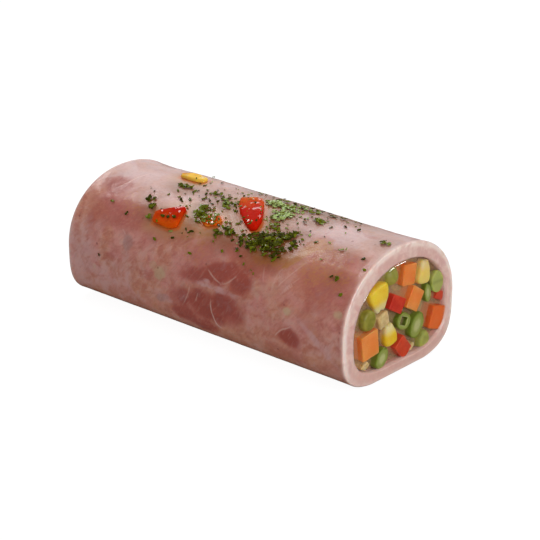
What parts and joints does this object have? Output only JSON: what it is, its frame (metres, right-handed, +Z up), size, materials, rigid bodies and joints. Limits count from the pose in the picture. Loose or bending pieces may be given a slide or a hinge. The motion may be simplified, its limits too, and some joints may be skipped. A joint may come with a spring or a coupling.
{
  "type": "ham and vegetable log",
  "caption": "D-shaped log of cooked ham filled with diced vegetables in clear aspic, cut square at both ends, with red pepper and chopped parsley along the top.",
  "frame": {"origin": "middle of the flat underside", "axes": "+X runs along the log to the cut that the picture shows, +Z is up, and the peppers lie towards -Y of the crest"},
  "size_m": [0.125, 0.0575, 0.0455],
  "materials": {
    "ham": "wet, dusty rose with darker muscle",
    "filling": "set aspic, translucent mauve brown",
    "carrot": "wet cooked carrot",
    "red_pepper": "wet red pepper",
    "sweetcorn": "wet yellow kernel",
    "pea": "wet olive green",
    "green_bean": "wet green with a paler middle",
    "turnip": "wet pale beige"
  },
  "bodies": {
    "root": {"aspic_filling": "filling", "far_bean_1": "green_bean", "far_bean_2": "green_bean", "far_carrot_1": "carrot", "far_carrot_2": "carrot", "far_carrot_3": "carrot", "far_corn_1": "sweetcorn", "far_corn_2": "sweetcorn", "far_corn_3": "sweetcorn", "far_hollow_bean_1": "green_bean", "far_pea_1": "pea", "far_pea_2": "pea", "far_pea_3": "pea", "far_pepper_1": "red_pepper", "far_pepper_2": "red_pepper", "ham_wall": "ham", "near_bean_1": "green_bean", "near_bean_2": "green_bean", "near_bean_3": "green_bean", "near_carrot_1": "carrot", "near_carrot_2": "carrot", "near_carrot_3": "carrot", "near_carrot_4": "carrot", "near_corn_1": "sweetcorn", "near_corn_2": "sweetcorn", "near_corn_3": "sweetcorn", "near_hollow_bean_1": "green_bean", "near_pea_1": "pea", "near_pea_2": "pea", "near_pea_3": "pea", "near_pea_4": "pea", "near_pepper_1": "red_pepper", "near_pepper_2": "red_pepper", "near_pepper_3": "red_pepper", "near_turnip_1": "turnip", "near_turnip_2": "turnip", "near_turnip_3": "turnip", "topping_pepper_1": "red_pepper", "topping_pepper_2": "red_pepper", "topping_pepper_3": "red_pepper", "topping_pepper_4": "red_pepper"}
  },
  "joints": []
}
